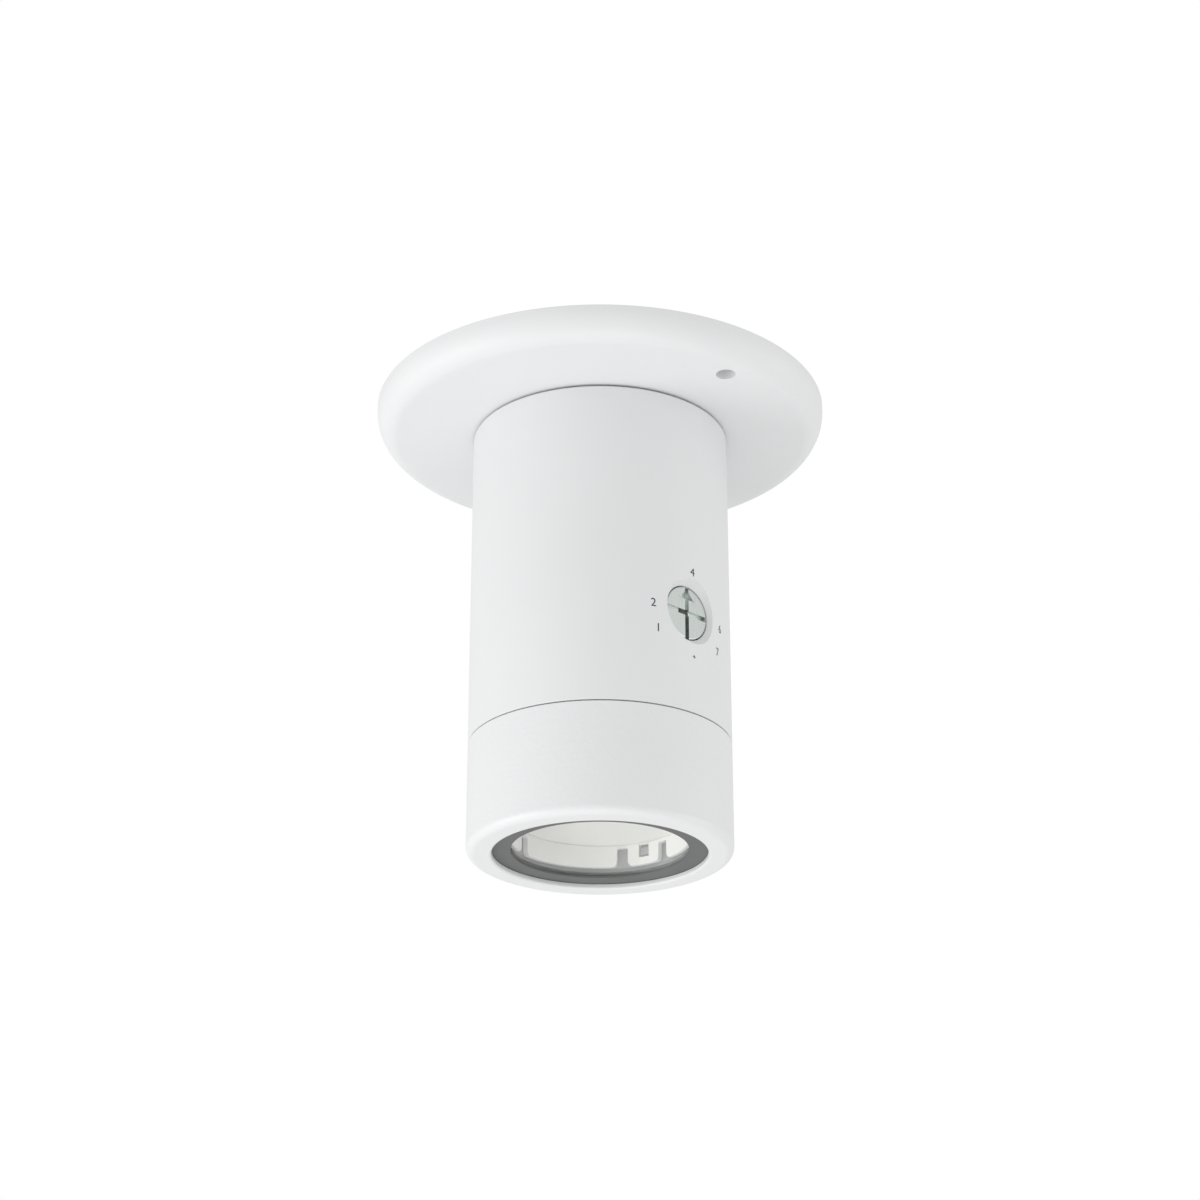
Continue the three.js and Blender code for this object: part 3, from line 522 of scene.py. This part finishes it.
def main_screw(index, azimuth):
    node = f"main_screw_{index}"
    low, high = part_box(node)
    seat = FACE_Z + BACK_WALL + 0.1 * MM
    shank, head = 1.3 * MM, 3 * MM
    thread_pitch = 0.9 * MM
    dome = arc((0, seat + 0.9 * MM), (head, high.z - seat - 0.9 * MM), 0, 90, 8)
    point = [(0, low.z), (shank * 0.5, low.z)]
    turns = []
    count = int((seat - 1 * MM - (low.z + shank)) / thread_pitch)
    for i in range(count):
        z = low.z + shank + i * thread_pitch
        turns += [(shank * 0.82, z), (shank, z + thread_pitch * 0.5)]
    neck = [(shank * 0.82, seat - 0.8 * MM), (shank, seat - 0.6 * MM), (shank, seat)]
    profile = [*point, *turns, *neck, (head, seat), *dome]
    piece = lathe(f"cover_screw_{index}", profile, FINE_SIDES)
    arm, slot = 1.65 * MM, 0.42 * MM
    floor = seat + 0.84 * MM
    cut(piece, box_tool((-arm, arm), (-slot, slot), (floor, high.z + MM)))
    cut(piece, box_tool((-slot, slot), (-arm, arm), (floor, high.z + MM)))
    at(piece, azimuth, MAIN_SCREW_REACH)
    return finish_piece(piece, "unit", node, "zinc_steel")


# ---------------------------------------------------------------- housing tube

COUNTERBORE_R = DIAL_R + 0.25 * MM
COUNTERBORE_FLOOR = DIAL_FACE - 2.0 * MM
RIM_SLOPE = 0.75  # how far the recess's rim spreads for each unit of its depth
BOSS_END = 23.9 * MM
O_RING_R = 5.1 * MM
O_RING_FLOOR = 24.8 * MM
STUB_HOLE_R = 4.1 * MM
SHAFT_SOCKET_R = 2.1 * MM
SHAFT_SOCKET_END = 25.9 * MM
DIAL_AXIS = Matrix.Translation((0, 0, DIAL_Z)) @ Matrix.Rotation(math.pi / 2, 4, "X")


def along_dial(tool):
    return move(tool, DIAL_AXIS)


def housing_tube():
    soft = 0.5 * MM
    seam_soft = 0.15 * MM
    outside = straight((TUBE_R, SEAM_Z + seam_soft), (TUBE_R, TUBE_HIGH.z - soft), 26)
    profile = [
        (TUBE_BORE_R, TUBE_HIGH.z),
        (TUBE_BORE_R, NECK_TAPER_Z[1]),
        (NECK_BORE_R, NECK_TAPER_Z[0]),
        (NECK_BORE_R, NECK_END),
        (NECK_R - 0.5 * MM, NECK_END),
        (NECK_R, NECK_END + 0.5 * MM),
        (NECK_R, SEAM_Z),
        (TUBE_R - seam_soft, SEAM_Z),
        *outside,
        *arc((TUBE_R - soft, TUBE_HIGH.z - soft), (soft, soft), 0, 90, 6)[1:],
    ]
    piece = lathe("tube", profile)
    boss_z = (-25.5 * MM, CAP_HIGH.z - 2.7 * MM)
    for azimuth in MAIN_SCREW_AZIMUTHS:
        join(piece, at(disc_tool(3 * MM, *boss_z), azimuth, MAIN_SCREW_REACH))
        web = box_tool((-1.2 * MM, 1.2 * MM), (-TUBE_R + MM, -MAIN_SCREW_REACH), boss_z)
        join(piece, turned(web, azimuth))
        cut(piece, at(disc_tool(1.55 * MM, -23.5 * MM, -10 * MM), azimuth, MAIN_SCREW_REACH))
    lug_z = (-93.8 * MM, -89.6 * MM)
    for azimuth in CARRIER_SCREW_AZIMUTHS:
        lug = box_tool((-3 * MM, 3 * MM), (-NECK_BORE_R - MM, -15.4 * MM), lug_z)
        join(piece, turned(lug, azimuth))
        cut(piece, at(disc_tool(1.3 * MM, lug_z[0] - MM, lug_z[1] + MM), azimuth, CARRIER_SCREW_REACH))
    far = TUBE_R + 3 * MM
    join(piece, along_dial(disc_tool(8 * MM, BOSS_END, TUBE_BORE_R + MM)))
    cut(piece, along_dial(disc_tool(COUNTERBORE_R, COUNTERBORE_FLOOR, far, 128)))
    reach = far - DIAL_FACE
    rim = [(0, DIAL_FACE), (COUNTERBORE_R, DIAL_FACE), (COUNTERBORE_R + RIM_SLOPE * reach, far), (0, far)]
    cut(piece, along_dial(lathe("tool", rim, 128)))
    cut(piece, along_dial(disc_tool(O_RING_R, O_RING_FLOOR, far)))
    cut(piece, along_dial(disc_tool(STUB_HOLE_R, BOSS_END - MM, far)))
    return finish_piece(piece, "unit", "housing_tube", "white_powder_coat")


def neck_thread():
    """The rounded thread on the neck that the bezel ring turns on."""
    inner, outer = NECK_R - 0.05 * MM, NECK_R + 0.22 * MM
    half_width = 0.6 * MM
    low, high = NECK_END + 2 * MM, SEAM_Z - 2 * MM
    per_turn = 96
    steps = int((high - low) / THREAD_PITCH * per_turn)
    crest = half_width * 0.35
    section = [(inner, -half_width), (outer, -crest), (outer, crest), (inner, half_width)]
    bm = bmesh.new()
    rings = []
    for i in range(steps + 1):
        a = TAU * i / per_turn
        lead_in = min(1, i / 12, (steps - i) / 12)
        z = low + THREAD_PITCH * i / per_turn
        rings.append(
            [
                bm.verts.new((
                    (inner + (r - inner) * max(lead_in, 0.05)) * math.cos(a),
                    (inner + (r - inner) * max(lead_in, 0.05)) * math.sin(a),
                    z + dz,
                ))
                for r, dz in section
            ]
        )
    for ring, following in zip(rings, rings[1:]):
        for k in range(4):
            bm.faces.new([ring[k], ring[(k + 1) % 4], following[(k + 1) % 4], following[k]])
    bm.faces.new(rings[0])
    bm.faces.new(rings[-1])
    return finish_piece(from_bmesh("neck_thread", bm), "unit", None, "white_powder_coat")


# ---------------------------------------------------------------- level dial and its numerals


def level_dial():
    soft = 0.28 * MM
    back = COUNTERBORE_FLOOR + 0.3 * MM
    stub, stub_end = 3.6 * MM, -DIAL_HIGH.y
    edge = arc((DIAL_R - soft, DIAL_FACE - soft), (soft, soft), 0, 90, 6)
    profile = [(0, stub_end), (stub, stub_end), (stub, back), (DIAL_R, back), *edge, (0, DIAL_FACE)]
    piece = lathe("dial", profile, 128)
    half, depth, reach = 0.575 * MM, 1.2 * MM, DIAL_R + MM
    floor = DIAL_FACE - depth
    cut(piece, disc_tool(SHAFT_SOCKET_R, stub_end - MM, SHAFT_SOCKET_END))
    cut(piece, box_tool((-half, half), (-reach, reach), (floor, DIAL_FACE + MM)))
    cut(piece, box_tool((-reach, reach), (-half, half), (floor, DIAL_FACE + MM)))
    tip, base, wide = DIAL_R - 0.4 * MM, DIAL_R - 2.9 * MM, 2.2 * MM
    cut(piece, prism("tool", [(0, tip), (-wide, base), (wide, base)], floor + 0.2 * MM, DIAL_FACE + MM))
    move(piece, DIAL_AXIS)
    return finish_piece(piece, "dial", "level_dial", "plated_dial", edge=0.06 * MM)


def slot_painted_dark_plate():
    """A dark plate at the bottom of the slot, from the middle of the dial to the end of the lower arm:
    painted dark reflection and shade, darker than the dial's own metal.
    """
    half, wide, foot = 0.555 * MM, 1.4 * MM, -DIAL_R + 0.1 * MM
    low, high = DIAL_FACE - 1.23 * MM, DIAL_FACE - 1.1 * MM
    outline = [
        (-half, foot), (half, foot), (half, -half), (wide, -half), (wide, half), (half, half),
        (half, wide), (-half, wide), (-half, half), (-wide, half), (-wide, -half), (-half, -half),
    ]
    piece = move(prism("slot_painted_dark_plate", outline, low, high), DIAL_AXIS)
    return finish_piece(piece, "dial", None, "plated_dial", "slot_painted_reflection")


NUMERALS = {"1": 243, "2": 275, "4": 0, "6": 87, "7": 121}
NUMERAL_RING_R = 10.8 * MM
INDEX_MARK = 179
INDEX_MARK_R = 9.6 * MM
SCALE_Z = DIAL_Z - 1.5 * MM
NUMERAL_H = 2.0 * MM
INK_T = 0.03 * MM


def on_tube(piece, lift):
    """Wraps a flat piece, drawn in X and Z with its thickness along -Y, round the tube's side."""
    for v in piece.data.vertices:
        angle = v.co.x / TUBE_R
        r = TUBE_R + lift - v.co.y
        v.co = Vector((r * math.sin(angle), -r * math.cos(angle), v.co.z))
    return piece


def on_scale(piece, clock, ring=NUMERAL_RING_R):
    """Sets a mark on the ring round the dial, at an angle in degrees clockwise from the top."""
    a = math.radians(clock)
    move(piece, Matrix.Translation((ring * math.sin(a), 0, SCALE_Z + ring * math.cos(a))))
    return on_tube(piece, INK_T * 0.7)


def numeral(text, clock):
    curve = bpy.data.curves.new("numeral", "FONT")
    curve.body = text
    curve.size = NUMERAL_H / 0.72
    curve.align_x = "CENTER"
    curve.align_y = "CENTER"
    curve.extrude = INK_T / 2
    curve.resolution_u = 6
    text_object = as_object("numeral_text", curve)
    graph = bpy.context.evaluated_depsgraph_get()
    mesh = bpy.data.meshes.new_from_object(text_object.evaluated_get(graph))
    bpy.data.objects.remove(text_object)
    piece = as_object(f"numeral_{text}", mesh)
    bm = bmesh.new()
    bm.from_mesh(mesh)
    bmesh.ops.remove_doubles(bm, verts=bm.verts, dist=1e-7)
    bm.to_mesh(mesh)
    bm.free()
    move(piece, Matrix.Rotation(math.pi / 2, 4, "X"))
    on_scale(piece, clock)
    return finish_piece(piece, "unit", None, "black_rubber", "dial_ink")


def index_mark():
    """A small cross at the foot of the scale."""
    arm, half = 0.42 * MM, 0.09 * MM
    outline = [
        (-half, -arm), (half, -arm), (half, -half), (arm, -half), (arm, half), (half, half),
        (half, arm), (-half, arm), (-half, half), (-arm, half), (-arm, -half), (-half, -half),
    ]
    piece = prism("index_mark", outline, -INK_T / 2, INK_T / 2)
    move(piece, Matrix.Rotation(math.pi / 2, 4, "X"))
    on_scale(piece, INDEX_MARK, INDEX_MARK_R)
    return finish_piece(piece, "unit", None, "black_rubber", "dial_ink")


# ---------------------------------------------------------------- bezel ring, gasket and glass


def bezel_ring():
    edge = 1.9 * MM
    seam_soft = 0.15 * MM
    bore = 27.5 * MM
    lip_soft = 0.6 * MM
    lip_top = GASKET_LOW.z - 0.1 * MM
    outside = straight((TUBE_R, BEZEL_HIGH.z - seam_soft), (TUBE_R, BEZEL_LOW.z + edge), 10)
    profile = [
        (bore, BEZEL_HIGH.z),
        (TUBE_R - seam_soft, BEZEL_HIGH.z),
        *outside,
        *arc((TUBE_R - edge, BEZEL_LOW.z + edge), (edge, edge), 0, -90, 14)[1:],
        *arc((LIP_R + lip_soft, BEZEL_LOW.z + lip_soft), (lip_soft, lip_soft), -90, -180, 8),
        (LIP_R, lip_top),
        (bore, lip_top),
    ]
    piece = lathe("bezel", profile)
    return finish_piece(piece, "bezel", "bezel_ring", "white_powder_coat", "white_orange_peel")


def lens_gasket():
    outer = GASKET_HIGH.x
    rear = 24 * MM
    gap = 0.1 * MM
    channel = GLASS_HIGH.x + 0.3 * MM
    soft = 0.2 * MM
    profile = [
        *arc((WINDOW_R + soft, GASKET_LOW.z + soft), (soft, soft), 180, 270, 5),
        (outer, GASKET_LOW.z),
        (outer, GASKET_HIGH.z),
        (rear, GASKET_HIGH.z),
        (rear, GLASS_HIGH.z + gap),
        (channel, GLASS_HIGH.z + gap),
        (channel, GLASS_LOW.z - gap),
        (WINDOW_R, GLASS_LOW.z - gap),
    ]
    return finish_piece(lathe("gasket", profile), "lens_stack", "lens_gasket", "grey_gasket")


def lens_glass():
    soft = 0.2 * MM
    r = GLASS_HIGH.x
    profile = [
        (0, GLASS_LOW.z),
        *arc((r - soft, GLASS_LOW.z + soft), (soft, soft), -90, 0, 4),
        *arc((r - soft, GLASS_HIGH.z - soft), (soft, soft), 0, 90, 4),
        (0, GLASS_HIGH.z),
    ]
    return finish_piece(lathe("glass", profile), "lens_stack", "lens_glass", "clear_glass")


# ---------------------------------------------------------------- light chamber


def slot_outline(half, low, high, mouth):
    """A slot in X and Z that is open at its foot, where its corners flare out in quarter circles."""
    flare = arc((half + mouth, low + mouth), (mouth, mouth), 270, 180, 8)
    soft = 0.25 * MM
    right = [(half + mouth, low - MM), *flare, (half, high - soft), (half - soft, high)]
    return right + [(-x, z) for x, z in reversed(right)]


def radial_tool(outline, near, far):
    """An outline in X and Z drawn along -Y, from one distance from the axis to another."""
    piece = prism("tool", outline, near, far)
    return move(piece, Matrix.Rotation(math.pi / 2, 4, "X"))


def reflector_cup():
    outer, seat = CUP_HIGH.x, CUP_BORE_R + 0.7 * MM
    soft = 0.25 * MM
    ceiling = DIFFUSER_LOW.z - 0.1 * MM
    profile = [
        *arc((CUP_BORE_R + soft, CUP_LOW.z + soft), (soft, soft), 180, 270, 5),
        *arc((outer - soft, CUP_LOW.z + soft), (soft, soft), 270, 360, 5),
        (outer, CUP_HIGH.z),
        (seat, CUP_HIGH.z),
        (seat, ceiling),
        (CUP_BORE_R, ceiling),
    ]
    piece = lathe("cup", profile)
    near, far = CUP_BORE_R - 2 * MM, outer + MM
    slot = slot_outline(SLOT_HALF_W, CUP_LOW.z, SLOT_TOP, SLOT_MOUTH)
    half_w, half_h = 1.3 * MM, 1.5 * MM
    low, high = WINDOW_MID_Z - half_h, WINDOW_MID_Z + half_h
    window = [(-half_w, low), (half_w, low), (half_w, high), (-half_w, high)]
    for azimuth in TONGUE_AZIMUTHS:
        for side in [-1, 1]:
            cut(piece, turned(radial_tool(slot, near, far), azimuth + side * SLOT_SPREAD))
        cut(piece, turned(radial_tool(window, near, far), azimuth))
    return finish_piece(piece, "unit", "reflector_cup", "white_reflector")


CARRIER_BORE_R = 21.4 * MM
CARRIER_PLATE_Z = (-96.1 * MM, -94 * MM)


def light_carrier():
    """The grey ring behind the glass, with the nubs that show in the cup's windows and the board's guides."""
    outer = CARRIER_HIGH.x
    soft = 0.25 * MM
    plate_low, plate_high = CARRIER_PLATE_Z
    profile = [
        *arc((CARRIER_BORE_R + soft, CARRIER_LOW.z + soft), (soft, soft), 180, 270, 5),
        *arc((outer - soft, CARRIER_LOW.z + soft), (soft, soft), 270, 360, 5),
        *arc((outer - soft, plate_high - soft), (soft, soft), 0, 90, 5),
        (0, plate_high),
        (0, plate_low),
        (CARRIER_BORE_R, plate_low),
    ]
    piece = lathe("carrier", profile)
    nub = (WINDOW_MID_Z - 1 * MM, WINDOW_MID_Z + 0.8 * MM)
    for azimuth in TONGUE_AZIMUTHS:
        tool = box_tool((-MM, MM), (-CARRIER_BORE_R - 0.6 * MM, -20.1 * MM), nub)
        join(piece, turned(tool, azimuth))
    gap, wall = 0.2 * MM, 1.3 * MM
    guide_z = (plate_low, CARRIER_HIGH.z)
    for x in [(-17 * MM, -13 * MM), (13 * MM, 17 * MM)]:
        join(piece, box_tool(x, (BOARD_LOW.y - gap - wall, BOARD_LOW.y - gap), guide_z))
        join(piece, box_tool(x, (BOARD_HIGH.y + gap, BOARD_HIGH.y + gap + wall), guide_z))
    cut(piece, disc_tool(3 * MM, plate_low - MM, plate_high + MM))
    for azimuth in CARRIER_SCREW_AZIMUTHS:
        hole = disc_tool(1.5 * MM, plate_low - MM, plate_high + MM)
        cut(piece, at(hole, azimuth, CARRIER_SCREW_REACH))
    return finish_piece(piece, "unit", "light_carrier", "grey_carrier", edge=0.1 * MM)


def carrier_painted_light():
    """A paler skin at the foot of the grey ring: painted light, a lighter copy of the ring's grey where the
    ring sits in shade.
    """
    face, skin = CARRIER_LOW.z, 0.03 * MM
    r = (CARRIER_BORE_R + 0.3 * MM, CARRIER_HIGH.x - 0.3 * MM)
    profile = [(r[0], face - skin), (r[1], face - skin), (r[1], face + skin), (r[0], face + skin)]
    return finish_piece(lathe("carrier_painted_light", profile), "unit", None, "grey_carrier", "carrier_painted_light")


def opal_diffuser():
    r = DIFFUSER_HIGH.x
    soft = 0.2 * MM
    profile = [
        (0, DIFFUSER_LOW.z),
        *straight((4 * MM, DIFFUSER_LOW.z), (r, DIFFUSER_LOW.z), 3),
        (r, DIFFUSER_HIGH.z - soft),
        (r - soft, DIFFUSER_HIGH.z),
        (0, DIFFUSER_HIGH.z),
    ]
    return finish_piece(lathe("diffuser", profile), "unit", "opal_diffuser", "opal_plastic")


# ---------------------------------------------------------------- CAD nodes that stay

SOFT_EDGE = 0.12 * MM


def dress_cad_nodes():
    slots = {row["node"]: row["material_slot"] for row in frame["record"]["subparts"]}
    for name, node in frame["nodes"].items():
        if node.hide_render:
            continue
        node.data.materials.clear()
        node.data.materials.append(MATERIALS[slots[name]])
        bevel = node.modifiers.new("edge", "BEVEL")
        bevel.width = SOFT_EDGE
        bevel.segments = 2
        bevel.limit_method = "ANGLE"
        bevel.angle_limit = math.radians(50)


# ---------------------------------------------------------------- floor and light

FLOOR_Z = -1.2


def make_floor():
    bm = bmesh.new()
    bmesh.ops.create_grid(bm, x_segments=4, y_segments=4, size=6)
    floor = from_bmesh("floor", bm)
    floor.location.z = FLOOR_Z
    floor.data.materials.append(surface("floor", (0.85, 0.85, 0.85), 0.7, grain=20 * MM, shift=0.01))


def area_light(name, azimuth, elevation, distance, size, power):
    """A soft lamp aimed at the unit. Azimuth 0 is on the camera's side, and positive is to its right."""
    data = bpy.data.lights.new(name, "AREA")
    data.size = size
    data.energy = power
    lamp = bpy.data.objects.new(name, data)
    bpy.context.scene.collection.objects.link(lamp)
    a, e = CAMERA_AZIMUTH + math.radians(azimuth), math.radians(elevation)
    back = Vector((math.sin(a) * math.cos(e), -math.cos(a) * math.cos(e), math.sin(e)))
    middle = Vector((0, 0, (FACE_Z + BEZEL_LOW.z) / 2))
    lamp.location = middle + back * distance
    lamp.rotation_euler = (-back).to_track_quat("-Z", "Y").to_euler()
    return lamp


def make_world(light, seen):
    """Even light, with a plain white background behind the unit."""
    world = bpy.data.worlds.new("studio")
    bpy.context.scene.world = world
    world.use_nodes = True
    tree = world.node_tree
    tree.nodes.clear()
    out = tree.nodes.new("ShaderNodeOutputWorld")
    mix = tree.nodes.new("ShaderNodeMixShader")
    path = tree.nodes.new("ShaderNodeLightPath")
    for index, strength in [(1, light), (2, seen)]:
        background = tree.nodes.new("ShaderNodeBackground")
        background.inputs["Color"].default_value = (1, 1, 1, 1)
        background.inputs["Strength"].default_value = strength
        tree.links.new(background.outputs[0], mix.inputs[index])
    tree.links.new(path.outputs["Is Camera Ray"], mix.inputs[0])
    tree.links.new(mix.outputs[0], out.inputs["Surface"])


def light_the_scene():
    bpy.context.scene.view_settings.view_transform = "Standard"
    make_world(0.84, 1.0)
    area_light("key", -75, -28, 1.2, 0.8, 5.4)
    area_light("side", 85, -10, 1.2, 0.8, 2.0)
    area_light("under", 0, -65, 0.95, 0.7, 1.6)


# ---------------------------------------------------------------- the unit

make_camera()
ceiling_flange()
rear_seal()
cable_grommet()
for number, azimuth in enumerate(MAIN_SCREW_AZIMUTHS, 1):
    main_screw(number, azimuth)
housing_tube()
neck_thread()
level_dial()
slot_painted_dark_plate()
for text, clock in NUMERALS.items():
    numeral(text, clock)
index_mark()
bezel_ring()
lens_gasket()
lens_glass()
reflector_cup()
light_carrier()
carrier_painted_light()
opal_diffuser()
dress_cad_nodes()
make_floor()
light_the_scene()
